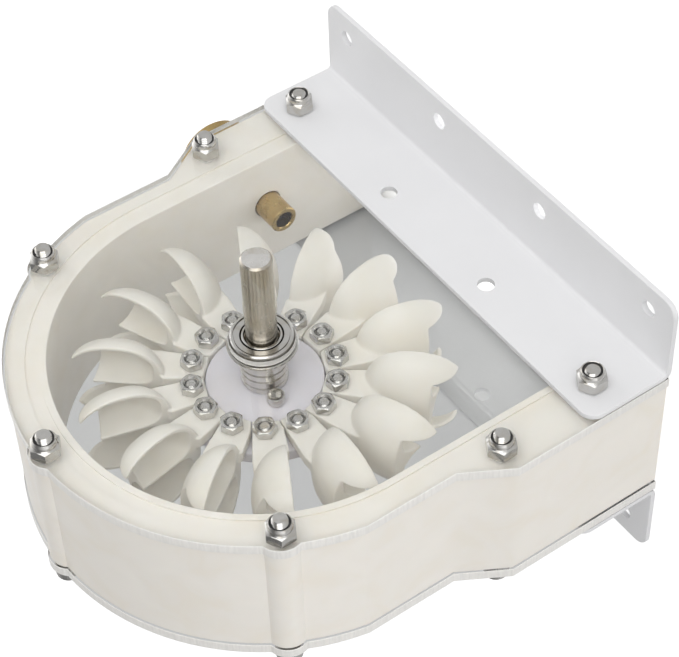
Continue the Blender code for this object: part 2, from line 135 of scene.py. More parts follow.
@named
class TurbineFasteners(PropertyGroup):
    radius: distance("M4 tie bolts", 0.002)
    pitch: distance("M4 thread", 0.0007)
    thread_depth: distance("M4 thread", 0.0004)
    threaded: distance("Length of the tie bolts' thread", 0.022)
    length: distance("Tie bolts, from head to tip", 0.050)
    leg_length: distance("Bracket bolts, from head to tip", 0.0524)
    hole: distance("Radius of the holes for these bolts", 0.00225)
    head_radius: distance("Knurled socket head", 0.0035)
    head_height: distance("Knurled socket head", 0.004)
    head_edge: distance("Easing of the head's rim", 0.0004)
    socket_across: distance("Across the flats of its socket", 0.003)
    socket_depth: distance("Depth of its socket", 0.002)
    nut_across: distance("Across the flats of the lock nuts", 0.007)
    nut_hex: distance("Height of the lock nut's hexagon", 0.0032)
    nut_height: distance("Height of the lock nut with its collar", 0.005)
    collar: distance("Radius of the collar over the nylon ring", 0.0031)
    rim_reach: distance("Radius of the bolt circle round the top", 0.0615)
    shoulder_x: distance("Side of the two shoulder bolts", 0.0636)
    shoulder_y: distance("Height of the two shoulder bolts", -0.0249)
    leg_y: distance("Height of the bracket bolts", -0.0540)
    small_across: distance("Across the flats of the M3 nuts", 0.0055)
    small_height: distance("M3 nuts and heads", 0.0024)
    small_radius: distance("M3 bolts through the buckets", 0.0014)
    small_pitch: distance("M3 thread", 0.0005)
    small_depth: distance("M3 thread", 0.0003)
    small_threaded: distance("Length of the M3 thread", 0.002)
    small_head: distance("Radius of the M3 heads", 0.00275)
    small_edge: distance("Easing of the small heads' rims", 0.0003)
    small_socket: distance("Across the flats of the M3 sockets", 0.0025)
    small_socket_depth: distance("Depth of the small sockets", 0.0013)


@named
class TurbineBracket(PropertyGroup):
    thickness: distance("Steel sheet", 0.0015)
    leg: distance("Height of the leg against the cover", 0.0253)
    flange: distance("Width of the flange on the floor", 0.025)
    bend: distance("Outside radius of the bend", 0.0025)
    corner: distance("Rounding of the free corners", 0.004)
    hole: distance("Radius of the holes in leg and flange", 0.00225)
    pitch: distance("From hole to hole", 0.041)
    flange_hole: distance("Flange's holes from the cover", 0.0179)
    edge: distance("Rounding of the painted edges", 0.00025)


@named
class TurbineBearings(PropertyGroup):
    outer: distance("Radius of the outer race", 0.008)
    flange: distance("Radius of its flange", 0.009)
    flange_thickness: distance("Thickness of its flange", 0.0011)
    height: distance("Width of the bearing", 0.005)
    proud: distance("How far it stands out of the cover", 0.0009)
    shield_outer: distance("Outer radius of the steel shield", 0.00705)
    shield_inner: distance("Inner radius of the steel shield", 0.0055)
    shield_depth: distance("How far the shield lies back", 0.00014)
    race: distance("Outer radius of the inner race", 0.00515)
    bore: distance("Radius of its bore", 0.0042)


@named
class TurbineShaft(PropertyGroup):
    radius: distance("Ground steel shaft", 0.004)
    front: distance("Where the long end stops", 0.0279)
    rear: distance("Where the short end stops", -0.045)
    chamfer: distance("Both ends", 0.0005)
    hub: distance("Radius of the grooved sleeve", 0.006)
    groove: distance("Depth of the sleeve's grooves", 0.0004)
    groove_width: distance("Width of the sleeve's grooves", 0.0005)
    first_groove: distance("Its front edge", -0.0096)
    second_groove: distance("Its front edge", -0.0118)
    third_groove: distance("Its front edge", -0.0143)
    screw_reach: distance("Circle of the two screws beside the hub", 0.0089)
    screw_turn: degrees("Where the first of them stands", 165.0)
    screw_head: distance("Radius of their heads", 0.00225)
    screw_height: distance("Height of their heads", 0.0025)
    screw_socket: distance("Across the flats of their sockets", 0.0024)


@named
class TurbineRunner(PropertyGroup):
    buckets: IntProperty(description="Buckets round the disc", default=14, min=3)
    phase: degrees("Angle of the first bucket", 17.6)
    middle: distance("Plane of the jet", -0.0195)
    bolt_circle: distance("Bolts that hold the buckets", 0.01876)
    stem_top: distance("Front face of the stems", -0.0154)
    stem_thickness: distance("Flat part of the stems", 0.0035)
    disc: distance("Radius of the plate behind the stems", 0.0230)
    disc_thickness: distance("Plate behind the stems", 0.0035)
    boss: distance("Radius of the disc's thicker middle", 0.01505)
    boss_top: distance("Front face of the thicker middle", -0.0165)


@named
class TurbineBucket(PropertyGroup):
    lead: distance("How far the rim leads the shaft's axis", 0.0028)
    turn: degrees("Further turn of the rim's plane", 5.1)
    centre: distance("Middle of the cup", 0.0370)
    half_length: distance("Outside of the cup towards the stem", 0.0123)
    outer_length: distance("Outside of the cup towards its tips", 0.0137)
    half_width: distance("Outside of the cup across it", 0.0132)
    depth: distance("Outside of the cup behind the rim", 0.0098)
    bowl_length: distance("Inside of each bowl towards the stem", 0.0098)
    bowl_outer: distance("Inside of each bowl towards its tip", 0.0105)
    bowl_shift: distance("How far the bowls' middle lies out from the cup's", 0.0005)
    bowl_width: distance("Inside of each bowl, half across", 0.00585)
    bowl_depth: distance("Inside of each bowl", 0.0072)
    bowl_lift: distance("How far the bowls' middle stands over the rim", 0.0002)
    ridge: distance("Half of the ridge between the bowls", 0.0004)
    notch: distance("Where the notch for the jet starts", 0.0437)
    notch_width: distance("Half width of that notch", 0.0083)
    notch_lean: degrees("How far its face leans in at the back", 12.0)
    grain: distance("Size of the finest moulded detail", 0.00026)


@named
class TurbineNozzle(PropertyGroup):
    height: distance("Nozzle's axis from the shaft's", -0.0370)
    tube: distance("Radius of the brass tube", 0.0039)
    bore: distance("Radius of its hole", 0.0025)
    tip: distance("Inner end of the tube", 0.0454)
    seat: distance("Start of the fitting's seat in the wall", 0.0600)
    shank: distance("Radius of the fitting's shank", 0.0066)
    collar: distance("Radius of the fitting outside the wall", 0.0103)
    collar_start: distance("Where it starts outside the wall", 0.0706)
    end: distance("Outer face of the fitting", 0.0820)
    mouth: distance("Radius of the threaded mouth for a pipe", 0.0075)
    floor: distance("Bottom of the threaded mouth", 0.0740)
    pitch: distance("Thread of the mouth", 0.0013)
    thread: distance("Depth of that thread", 0.0005)


@named
class TurbineFinishes(PropertyGroup):
    wall: colour("Warm white moulded wall", (0.935, 0.895, 0.83))
    bucket: colour("Warm white moulded buckets", (0.90, 0.87, 0.805))
    disc: colour("Cool white disc", (0.81, 0.785, 0.83))
    sheet: colour("Clear front cover", (0.97, 0.975, 0.97))
    # Painted shade: the rear cover is a little darker than the front one, which darkens the floor seen
    # through both covers.
    rear_sheet: colour("Clear rear cover", (0.95, 0.955, 0.955))
    cut_edge: colour("Sawn edges of the clear sheets", (0.93, 0.91, 0.87))
    paint: colour("White powder coat", (0.86, 0.86, 0.87))
    steel: colour("Fasteners and bearings", (0.60, 0.59, 0.57))
    shaft: colour("Ground shaft", (0.52, 0.485, 0.425))
    brass: colour("Nozzle and fitting", (0.52, 0.38, 0.17))


@named
class TurbineStage(PropertyGroup):
    lens: FloatProperty(description="Focal length", default=115.5554, unit="CAMERA")
    eye: place("Where the camera stands", (-0.3098435, -0.3873575, 0.2559690))
    eye_turn: FloatVectorProperty(
        description="How the camera is turned",
        default=[radians(angle) for angle in (-49.96506, 54.54782, 177.46199)],
        subtype="EULER",
    )
    sky: strength("Brighter side light", 1.9)
    key: strength("Soft front light", 6.0, "POWER")
    key_size: distance("Width of the front light", 1.2)
    key_place: place("Where the front light stands", (-0.33, -0.95, 0.45))
    floor_glow: strength("What the camera sees the floor give", 0.62)
    floor_bounce: strength("What the floor adds to the light", 0.19)
    outlet_light: strength("Light that comes in by the outlet", 1.62)
    floor_radius: distance("Round floor", 4.0)


class Pen:
    """Draws outlines in the drawing's plane with lines and arcs, and fills them to a plate."""

    def __init__(self, x, y):
        self.bm = bmesh.new()
        self.first = self.last = self.bm.verts.new((x, y, 0))

    def line(self, *points):
        for x, y in points:
            grown = bmesh.ops.extrude_vert_indiv(self.bm, verts=[self.last])
            self.last = grown["verts"][0]
            self.last.co = (x, y, 0)

    def arc(self, x, y, turn, steps):
        swung = bmesh.ops.spin(
            self.bm, geom=[self.last], cent=(x, y, 0), axis=(0, 0, 1), angle=turn, steps=steps
        )
        self.last = next(item for item in swung["geom_last"] if isinstance(item, bmesh.types.BMVert))

    def close(self):
        self.bm.edges.new((self.last, self.first))
        return self

    def circle(self, x, y, radius, segments=32):
        lie = Matrix.Translation((x, y, 0))
        bmesh.ops.create_circle(self.bm, radius=radius, segments=segments, matrix=lie)

    def plate(self, low, high):
        bm = self.bm
        bmesh.ops.remove_doubles(bm, verts=bm.verts, dist=same_place)
        bmesh.ops.triangle_fill(bm, edges=bm.edges[:], use_beauty=True, normal=(0, 0, 1))
        grown = bmesh.ops.extrude_face_region(bm, geom=bm.faces[:])
        raised = [item for item in grown["geom"] if isinstance(item, bmesh.types.BMVert)]
        bmesh.ops.translate(bm, verts=raised, vec=(0, 0, high - low))
        bmesh.ops.translate(bm, verts=bm.verts, vec=(0, 0, low))
        return mended(bm)


def mended(bm):
    bmesh.ops.recalc_face_normals(bm, faces=bm.faces)
    return bm


def everything(bm):
    return bm.verts[:] + bm.edges[:] + bm.faces[:]


def turned(profile, steps):
    """A body turned about z from an outline of (radius, z) points, closed on itself unless it
    starts on the axis."""
    bm = bmesh.new()
    verts = [bm.verts.new((radius, 0, z)) for radius, z in profile]
    edges = [bm.edges.new(pair) for pair in zip(verts, verts[1:])]
    if profile[0][0] > 0:
        edges.append(bm.edges.new((verts[-1], verts[0])))
    bmesh.ops.spin(bm, geom=verts + edges, axis=(0, 0, 1), angle=tau, steps=steps, use_merge=True)
    bmesh.ops.remove_doubles(bm, verts=bm.verts, dist=same_place / 10)
    return mended(bm)


def rod(radius, high, low, steps):
    return turned([(0, high), (radius, high), (radius, low), (0, low)], steps)


def ease_edges(bm, offset, segments=2, over=40.0, pick=None):
    """Rounds the edges that turn by more than so many degrees, or those that pick chooses."""
    sharp = [e for e in bm.edges if e.is_manifold and e.calc_face_angle() > radians(over)]
    if pick:
        sharp = [edge for edge in sharp if pick(edge)]
    bmesh.ops.bevel(
        bm, geom=sharp, offset=offset, segments=segments, profile=0.5, affect="EDGES", material=-1
    )
    return bm


def cut_off(bm, point, normal):
    """Cuts away what lies past a plane and closes the cut."""
    cut = bmesh.ops.bisect_plane(
        bm, geom=everything(bm), plane_co=point, plane_no=normal, clear_outer=True
    )
    loop = [item for item in cut["geom_cut"] if isinstance(item, bmesh.types.BMEdge)]
    bmesh.ops.edgeloop_fill(bm, edges=loop)


def added(bm, other):
    """The other bmesh's shape goes into this one."""
    carrier = bpy.data.meshes.new("carrier")
    other.to_mesh(carrier)
    other.free()
    bm.from_mesh(carrier)
    bpy.data.meshes.remove(carrier)
    return bm


def moved(bm, matrix):
    bmesh.ops.transform(bm, matrix=matrix, verts=bm.verts)
    return bm


def shifted(bm, x, y, z):
    return moved(bm, Matrix.Translation((x, y, z)))


def new_object(name, data):
    made = bpy.data.objects.new(name, data)
    bpy.context.scene.collection.objects.link(made)
    return made


def carved(bm, cutters, operation="DIFFERENCE"):
    """The shape after a Boolean with each cutter, made on helper objects."""
    helpers = []
    for shape in [bm] + list(cutters):
        mesh = bpy.data.meshes.new("helper")
        mended(shape).to_mesh(mesh)
        shape.free()
        helpers.append(new_object("helper", mesh))
    for cutter in helpers[1:]:
        boolean = helpers[0].modifiers.new("Boolean", "BOOLEAN")
        boolean.operation = operation
        boolean.object = cutter
    made = bmesh.new()
    made.from_object(helpers[0], bpy.context.evaluated_depsgraph_get())
    for helper in helpers:
        used = helper.data
        bpy.data.objects.remove(helper)
        bpy.data.meshes.remove(used)
    return made


looks = {}


def finish_piece(name, bm, wanted, body, nodes=(), crease=32.0, mend=True):
    """One named piece of the turbine in the wanted looks, stood up in the world, that rides on a
    body and stands for the given nodes."""
    moved(bm, stand)
    if mend:
        mended(bm)
    mesh = bpy.data.meshes.new(name)
    bm.to_mesh(mesh)
    bm.free()
    for look in wanted.split():
        mesh.materials.append(looks[look])
    mesh.shade_smooth()
    mesh.set_sharp_from_angle(angle=radians(crease))
    piece = new_object(name, mesh)
    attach(piece, body)
    if nodes:
        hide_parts(*nodes)
    return piece


def flat_shading(piece):
    """Keeps the large flat faces flat up to their rounded edges."""
    piece.modifiers.new("Flat faces", "WEIGHTED_NORMAL").keep_sharp = True


def fill(node, **values):
    """Sets a node's sockets, where From_Min stands for From Min."""
    for name, value in values.items():
        node.inputs[name.replace("_", " ")].default_value = value
    return node


def new_node(tree, kind, **values):
    return fill(tree.nodes.new("ShaderNode" + kind), **values)


def wire(source, output, target, socket):
    source.id_data.links.new(source.outputs[output], target.inputs[socket])


def tones(source, output, target, socket, *stops):
    """Links an output to a colour by a ramp of (place, colour) stops."""
    ramp = new_node(source.id_data, "ValToRGB")
    points = ramp.color_ramp.elements
    for point, (position, tint) in zip(points, (stops[0], stops[-1])):
        point.position = position
        point.color = (*tint, 1.0)
    for position, tint in stops[1:-1]:
        points.new(position).color = (*tint, 1.0)
    wire(source, output, ramp, "Fac")
    wire(ramp, "Color", target, socket)


def split_rays(ray, rest, chosen, end):
    """Shows rays of one kind the chosen shader and all others the rest."""
    path = new_node(end.id_data, "LightPath")
    choose = new_node(end.id_data, "MixShader")
    wire(path, ray, choose, "Fac")
    wire(rest, 0, choose, 1)
    wire(chosen, 0, choose, 2)
    wire(choose, "Shader", end, "Surface")


def shaded(tint, factor):
    return tuple(channel * factor for channel in tint)


def tinted(tint, red, green, blue):
    return (tint[0] * red, tint[1] * green, tint[2] * blue)


class Look:
    """A material in the making: its Principled shader, and what varies its colour, roughness and
    surface. The textures lie in the world's metres."""

    def __init__(self, name, roughness, metallic=0.0, **values):
        self.made = bpy.data.materials.new(name)
        self.made.use_nodes = True
        self.tree = self.made.node_tree
        self.shader = self.tree.nodes["Principled BSDF"]
        self.end = self.tree.nodes["Material Output"]
        self.bump = None
        fill(self.shader, Roughness=roughness, Metallic=metallic, **values)

    def mapped(self, texture, **mapping):
        lie = new_node(self.tree, "Mapping", **mapping)
        wire(new_node(self.tree, "TexCoord"), "Object", lie, "Vector")
        wire(lie, "Vector", texture, "Vector")
        return texture

    def grain(self, size, detail=3.0, stretch=(1, 1, 1), warp=0.0):
        """Noise with features of about the given size."""
        noise = new_node(self.tree, "TexNoise", Scale=1.0 / size, Detail=detail, Distortion=warp)
        return self.mapped(noise, Scale=stretch)

    def colours(self, texture, *stops):
        tones(texture, "Fac", self.shader, "Base Color", *stops)

    def gloss(self, texture, low, high):
        """Spreads the middle of a texture's values over a range of roughness."""
        span = new_node(self.tree, "MapRange", From_Min=0.3, From_Max=0.7, To_Min=low, To_Max=high)
        wire(texture, "Fac", span, "Value")
        wire(span, "Result", self.shader, "Roughness")

    def relief(self, texture, depth, strength):
        """A bump so many metres deep, over any that is there already."""
        bump = new_node(self.tree, "Bump", Strength=strength, Distance=depth)
        wire(texture, "Fac", bump, "Height")
        if self.bump:
            wire(self.bump, "Normal", bump, "Normal")
        wire(bump, "Normal", self.shader, "Normal")
        self.bump = bump


def moulded_plastic(name, tint, roughness=0.42):
    """Moulded plastic: faint cloudy flow marks, a fine matt grain and small specks."""
    look = Look(name, roughness, Specular_IOR_Level=0.42, Subsurface_Weight=0.12)
    fill(look.shader, Subsurface_Radius=(0.0016, 0.0013, 0.0010), Subsurface_Scale=1.0)
    warm = tinted(tint, 0.985, 0.975, 0.95)
    clouds = look.grain(0.011, 4.0, warp=0.6)
    look.colours(clouds, (0.32, warm), (0.52, tint), (0.75, shaded(tint, 1.02)))
    look.gloss(look.grain(0.004), roughness - 0.06, roughness + 0.08)
    look.relief(look.grain(0.00035, 2.0), 0.000006, 0.3)
    look.relief(look.grain(0.006, 1.0), 0.00006, 0.25)
    return look.made


def clear_sheet(name, tint, roughness=0.0):
    """Clear acrylic that lets the lamps through, with faint smears and waviness."""
    look = Look(name, roughness, IOR=1.49, Transmission_Weight=1.0)
    smears = look.grain(0.018, 5.0, warp=1.2)
    look.colours(smears, (0.3, shaded(tint, 0.985)), (0.7, tint))
    look.gloss(smears, roughness, roughness + 0.03)
    look.relief(look.grain(0.03, 1.0), 0.00002, 0.3)
    through = new_node(look.tree, "BsdfTransparent", Color=(*shaded(tint, 0.97), 1.0))
    split_rays("Is Shadow Ray", look.shader, through, look.end)
    return look.made


def cut_edge(name, tint):
    """The sawn and flame-softened edge of a clear sheet, with fine saw marks across it."""
    look = Look(name, 0.45, IOR=1.49, Subsurface_Weight=0.3)
    fill(look.shader, Subsurface_Radius=(0.003, 0.003, 0.003), Subsurface_Scale=1.0)
    marks = look.grain(0.0006, stretch=(1, 0.1, 1))
    look.colours(marks, (0.3, shaded(tint, 0.9)), (0.7, tint))
    look.relief(marks, 0.00001, 0.4)
    return look.made


def powder_coat(name, tint):
    """White powder coat with its fine orange peel and a few dull patches."""
    look = Look(name, 0.4)
    look.colours(look.grain(0.02, 4.0), (0.3, shaded(tint, 0.97)), (0.7, tint))
    look.gloss(look.grain(0.009), 0.36, 0.5)
    look.relief(look.grain(0.0009, 2.0), 0.00002, 0.45)
    return look.made


def bright_metal(name, tint, roughness, blotch=0.003):
    """Bright plated or rolled metal with smudges, faint stains and hair-fine scratches."""
    look = Look(name, roughness, 1.0)
    warm = tinted(tint, 0.86, 0.82, 0.74)
    stains = look.grain(blotch, 5.0, warp=0.8)
    look.colours(stains, (0.25, warm), (0.5, tint), (0.8, shaded(tint, 1.08)))
    look.gloss(look.grain(blotch * 0.6, 4.0), roughness * 0.7, roughness * 1.5)
    look.relief(look.grain(0.0004, stretch=(1, 0.15, 1), warp=0.4), 0.000004, 0.6)
    return look.made


def turned_metal(name, tint, roughness):
    """Turned metal with lathe lines round the shaft's axis: rings on its end faces and bands down
    its sides."""
    look = Look(name, roughness, 1.0)
    fineness = 2500  # about eight lines to the millimetre
    for kind, direction in (("RINGS", "rings_direction"), ("BANDS", "bands_direction")):
        wave = new_node(look.tree, "TexWave", Scale=fineness, Distortion=1.5, Detail=2.0)
        wave.wave_type = kind
        setattr(wave, direction, "Y")
        look.relief(look.mapped(wave, Location=-shaft_axis), 0.000003, 0.5)
    stains = look.grain(0.004, 5.0, stretch=(1, 0.35, 1), warp=0.5)
    warm = tinted(tint, 0.84, 0.80, 0.72)
    look.colours(stains, (0.3, warm), (0.5, tint), (0.75, shaded(tint, 1.1)))
    look.gloss(look.grain(0.0025, 4.0), roughness * 0.8, roughness * 1.3)
    return look.made


def dark_nylon(name):
    """The near-black nylon ring of a lock nut, scuffed by the thread."""
    look = Look(name, 0.5)
    look.colours(look.grain(0.0008), (0.35, (0.012, 0.012, 0.013)), (0.7, (0.05, 0.05, 0.05)))
    look.relief(look.grain(0.0003, 2.0), 0.00001, 0.5)
    return look.made


class Sizes:
    """The groups of values that the panel shows, by their short names, with the places that
    follow from them."""

    def __init__(self):
        for name in groups:
            setattr(self, name.removeprefix("turbine_"), getattr(bpy.context.scene, name))
        housing = self.housing
        self.rear_face = -(2 * housing.cover_thickness + housing.wall_height)
        self.stem_back = self.runner.stem_top - self.runner.stem_thickness
        self.jet = laid(0, self.nozzle.height, self.runner.middle, quarter, "Y")

    def bolts(self):
        """Each bolt through both covers: its node, x and y, what lies under its nut and under its
        head, and its length."""
        f = self.fasteners
        spots = []
        for name, angle in (("upper_right", 30), ("top", 90), ("upper_left", 150)):
            a = radians(angle)
            spots.append(("tie_bolt_" + name, f.rim_reach * cos(a), f.rim_reach * sin(a), 0, f.length))
        for side, x in (("right", f.shoulder_x), ("left", -f.shoulder_x)):
            spots.append(("tie_bolt_lower_" + side, x, f.shoulder_y, 0, f.length))
        step = self.bracket.thickness + self.housing.fit
        for side, x in (("right", 1.5 * self.bracket.pitch), ("left", -1.5 * self.bracket.pitch)):
            spots.append(("bracket_bolt_" + side, x, f.leg_y, step, f.leg_length))
        return spots


def draw_rim(housing, inset):
    """A pen that has drawn the covers' outline, or with an inset the wall's, from the open end on
    the right round over the top to the open end on the left."""
    radius = housing.cover_radius - inset
    boss = housing.boss_radius - inset
    waist = housing.half_waist - inset
    width = housing.half_width - inset
    reach = housing.boss_reach
    start = acos(waist / radius)
    half = acos((radius**2 + reach**2 - boss**2) / (2 * radius * reach))
    swing = asin(radius * sin(half) / boss)
    pen = Pen(width, housing.open_end)
    pen.line((width, housing.shoulder), (waist, housing.waist_end), (waist, radius * sin(start)))
    angle = start
    for bolt_angle in (pi / 6, quarter, pi * 5 / 6):
        pen.arc(0, 0, bolt_angle - half - angle, 20)
        pen.arc(reach * cos(bolt_angle), reach * sin(bolt_angle), 2 * swing, 12)
        angle = bolt_angle + half
    pen.arc(0, 0, pi - start - angle, 20)
    pen.line((-waist, housing.waist_end), (-width, housing.shoulder), (-width, housing.open_end))
    return pen


def is_rim_edge(low, high):
    """Picks the edges that lie in one of a plate's two faces."""

    def pick(edge):
        one, other = (vert.co.z for vert in edge.verts)
        return abs(one - other) < same_place and min(abs(one - low), abs(one - high)) < same_place

    return pick


class TURBINE_OT_looks(Operator):
    """Make the turbine's materials"""

    bl_idname = "turbine.looks"
    bl_label = "Materials"

    def execute(self, context):
        tints = Sizes().finishes
        looks["wall"] = moulded_plastic("wall_plastic", tints.wall)
        looks["bucket"] = moulded_plastic("bucket_plastic", tints.bucket, 0.38)
        looks["disc"] = moulded_plastic("disc_plastic", tints.disc, 0.45)
        looks["front_sheet"] = clear_sheet("front_clear_sheet", tints.sheet)
        # The rear sheet's darker tint is painted shade on what is seen through it.
        looks["rear_sheet"] = clear_sheet("rear_clear_sheet", tints.rear_sheet, 0.02)
        looks["cut_edge"] = cut_edge("cut_sheet_edge", tints.cut_edge)
        looks["paint"] = powder_coat("white_powder_coat", tints.paint)
        looks["steel"] = bright_metal("bright_steel", tints.steel, 0.16)
        looks["shaft"] = turned_metal("ground_shaft_steel", tints.shaft, 0.22)
        looks["shaft_end"] = turned_metal("faced_shaft_end", shaded(tints.steel, 1.3), 0.24)
        looks["hub"] = turned_metal("turned_hub_steel", shaded(tints.steel, 1.1), 0.2)
        looks["bearing"] = turned_metal("bearing_steel", tints.steel, 0.14)
        looks["brass"] = bright_metal("brass", tints.brass, 0.27, 0.004)
        looks["nylon"] = dark_nylon("lock_nut_nylon")
        return {"FINISHED"}


class TURBINE_OT_wall(Operator):
    """Build the white wall between the covers, with its seal grooves and the nozzle's seat"""

    bl_idname = "turbine.wall"
    bl_label = "Housing wall"

    def execute(self, context):
        s = Sizes()
        housing, nozzle = s.housing, s.nozzle
        past, inside, outside = 0.001, 0.04, 0.08
        top = -housing.cover_thickness - housing.seam
        bottom = s.rear_face + housing.cover_thickness + housing.seam
        pen = draw_rim(housing, housing.cover_overhang)
        pen.line((-housing.wall_radius, housing.open_end), (-housing.wall_radius, 0))
        pen.arc(0, 0, -pi, 72)
        pen.line((housing.wall_radius, housing.open_end))
        wall = pen.close().plate(bottom, top)
        ease_edges(wall, housing.soft_edge, 3, 40.0, is_rim_edge(bottom, top))
        cutters = [self.groove(housing, top - housing.groove_depth, top + past)]
        cutters.append(self.groove(housing, bottom - past, bottom + housing.groove_depth))
        for radius, start in ((nozzle.tube, inside), (nozzle.shank, nozzle.seat)):
            cutters.append(moved(rod(radius + housing.fit, outside, start, 48), s.jet))
        for _, x, y, _, _ in s.bolts():
            cutters.append(shifted(rod(s.fasteners.hole, top + past, bottom - past, 24), x, y, 0))
        node = "housing_wall"
        wall = carved(wall, cutters)
        flat_shading(finish_piece(node + "_moulded", wall, "wall", "housing", [node]))
        return {"FINISHED"}

    def groove(self, housing, low, high):
        """The seal groove's shape, run out past the open end."""
        past = housing.open_end - 0.002
        outer, inner = housing.groove_outer, housing.groove_inner
        pen = Pen(-outer, past)
        pen.line((-outer, 0))
        pen.arc(0, 0, -pi, 72)
        pen.line((outer, past), (inner, past), (inner, 0))
        pen.arc(0, 0, pi, 72)
        pen.line((-inner, past))
        return pen.close().plate(low, high)


class TURBINE_OT_covers(Operator):
    """Build the two clear covers with their bolt and bearing holes"""

    bl_idname = "turbine.covers"
    bl_label = "Clear covers"

    def execute(self, context):
        s = Sizes()
        self.cover(s, "front", -s.housing.cover_thickness)
        self.cover(s, "rear", s.rear_face)
        return {"FINISHED"}

    def cover(self, s, end, low):
        high = low + s.housing.cover_thickness
        pen = draw_rim(s.housing, 0.0).close()
        for _, x, y, _, _ in s.bolts():
            pen.circle(x, y, s.fasteners.hole)
        pen.circle(0, 0, s.bearings.outer + s.housing.fit, 64)
        bm = pen.plate(low, high)
        ease_edges(bm, s.housing.sheet_edge, 1, 40.0, is_rim_edge(low, high))
        for face in bm.faces:
            face.material_index = 0 if abs(face.normal.z) > 0.99 else 1
        node = end + "_cover"
        wanted = end + "_sheet cut_edge"
        flat_shading(finish_piece(node + "_sheet", bm, wanted, "housing", [node]))


def threaded_rod(radius, pitch, depth, low, high, steps):
    """A right-hand thread between two heights, spun from a zigzag as a screw surface whose turns
    are merged, then cut square, capped and chamfered."""
    bm = bmesh.new()
    turns = ceil((high - low) / pitch) + 2
    verts = []
    for i in range(2 * turns + 1):
        valley = depth if i % 2 == 0 else 0
        verts.append(bm.verts.new((radius - valley, 0, low - pitch + i * pitch / 2)))
    edges = [bm.edges.new(pair) for pair in zip(verts, verts[1:])]
    rise = (0, 0, pitch / steps)
    bmesh.ops.spin(bm, geom=verts + edges, axis=(0, 0, 1), dvec=rise, angle=tau, steps=steps)
    bmesh.ops.remove_doubles(bm, verts=bm.verts, dist=pitch / 100)
    cut_off(bm, (0, 0, high), (0, 0, 1))
    cut_off(bm, (0, 0, low), (0, 0, -1))
    slope = 1.5
    for vert in bm.verts:
        allowed = radius - depth + slope * (high - vert.co.z)
        reach = hypot(vert.co.x, vert.co.y)
        if reach > allowed:
            vert.co.x *= allowed / reach
            vert.co.y *= allowed / reach
    mended(bm)
    point = radius - depth + hair / 2
    tip = [(0, high + hair / 5), (point - hair, high + hair / 5), (point, high - hair)]
    return added(bm, turned(tip + [(point, high - 6 * hair), (0, high - 6 * hair)], 32))


def hexagon_cut(bm, across):
    """Cuts six flats on a turned body, which leaves the curved chamfers of a real nut."""
    for i in range(6):
        angle = tau * i / 6
        normal = Vector((cos(angle), sin(angle), 0))
        cut_off(bm, normal * (across / 2), normal)
    return mended(bm)


def lock_nut(f, base):
    """A hexagon lock nut with its rolled collar. The nylon ring is a separate body in it."""
    corner = f.nut_across / sqrt(3)
    flat = f.nut_across / 2
    bore = f.radius + hair
    hexagon = base + f.nut_hex
    top = base + f.nut_height
    collar = f.collar
    profile = [(bore, base), (flat - hair, base), (corner, base + 3 * hair)]
    profile += [(corner, hexagon - 4 * hair), (flat - 1.5 * hair, hexagon - hair / 5)]
    profile += [(collar + 3 * hair, hexagon), (collar, hexagon + 3 * hair)]
    for inward, down in ((0, 8), (0.5, 5), (2, 2), (4, 0), (5.5, 1), (6, 5)):
        profile.append((collar - inward * hair, top - down * hair))
    profile.append((bore, top - 0.0012))
    return hexagon_cut(turned(profile, 72), f.nut_across)


def nylon_ring(f, base):
    top = base + f.nut_height - 0.00045
    low = top - 0.0013
    inner = f.radius - hair
    outer = f.collar - 0.00055
    profile = [(outer, top - hair), (outer, low), (inner, low)]
    return turned(profile + [(inner, top - 2 * hair), (inner + hair, top)], 40)


def socket_head(radius, height, across, depth, ease, knurls):
    """A knurled socket head that hangs from height 0, with its hexagon socket in its lower face."""
    rim = [(0, 0), (radius - ease / 2, 0), (radius, -ease / 2), (radius, -height + ease)]
    rim += [(radius - ease * 0.3, -height + ease * 0.3), (radius - ease, -height), (0, -height)]
    bm = turned(rim, 2 * knurls)
    valley = 0.965
    for vert in bm.verts:
        spoke = atan2(vert.co.y, vert.co.x) / tau * 2 * knurls
        if round(spoke) % 2 and hypot(vert.co.x, vert.co.y) > radius - ease * 0.1:
            vert.co.x *= valley
            vert.co.y *= valley
    socket = bmesh.new()
    corner = across / sqrt(3)
    sides = {"segments": 6, "radius1": corner, "radius2": corner}
    bmesh.ops.create_cone(socket, cap_ends=True, depth=2 * depth, **sides)
    return carved(bm, [shifted(socket, 0, 0, -height)])


class TURBINE_OT_tie_bolts(Operator):
    """Build the seven through bolts and their lock nuts"""

    bl_idname = "turbine.tie_bolts"
    bl_label = "Tie bolts and lock nuts"

    def execute(self, context):
        s = Sizes()
        fit = s.housing.fit
        for node, x, y, step, length in s.bolts():
            self.bolt(s.fasteners, node, (x, y, 0), step + fit, s.rear_face - step - fit, length)
        return {"FINISHED"}

    def bolt(self, f, node, spot, base, seat, length):
        """One bolt with its head below the seat and its nut on the base."""
        tip = seat + length
        start = tip - f.threaded
        sizes = (f.head_radius, f.head_height, f.socket_across, f.socket_depth)
        bm = shifted(socket_head(*sizes, f.head_edge, 36), 0, 0, seat)
        shank = [(0, start + 0.0002), (f.radius, start), (f.radius, seat - 0.001), (0, seat - 0.001)]
        added(bm, turned(shank, 32))
        added(bm, threaded_rod(f.radius, f.pitch, f.thread_depth, start, tip, 32))
        finish_piece(node + "_screw", shifted(bm, *spot), "steel", "housing", [node])
        nut = shifted(lock_nut(f, base), *spot)
        ring = shifted(nylon_ring(f, base), *spot)
        for face in ring.faces:
            face.material_index = 1
        finish_piece(node + "_nut", added(nut, ring), "steel nylon", "housing")


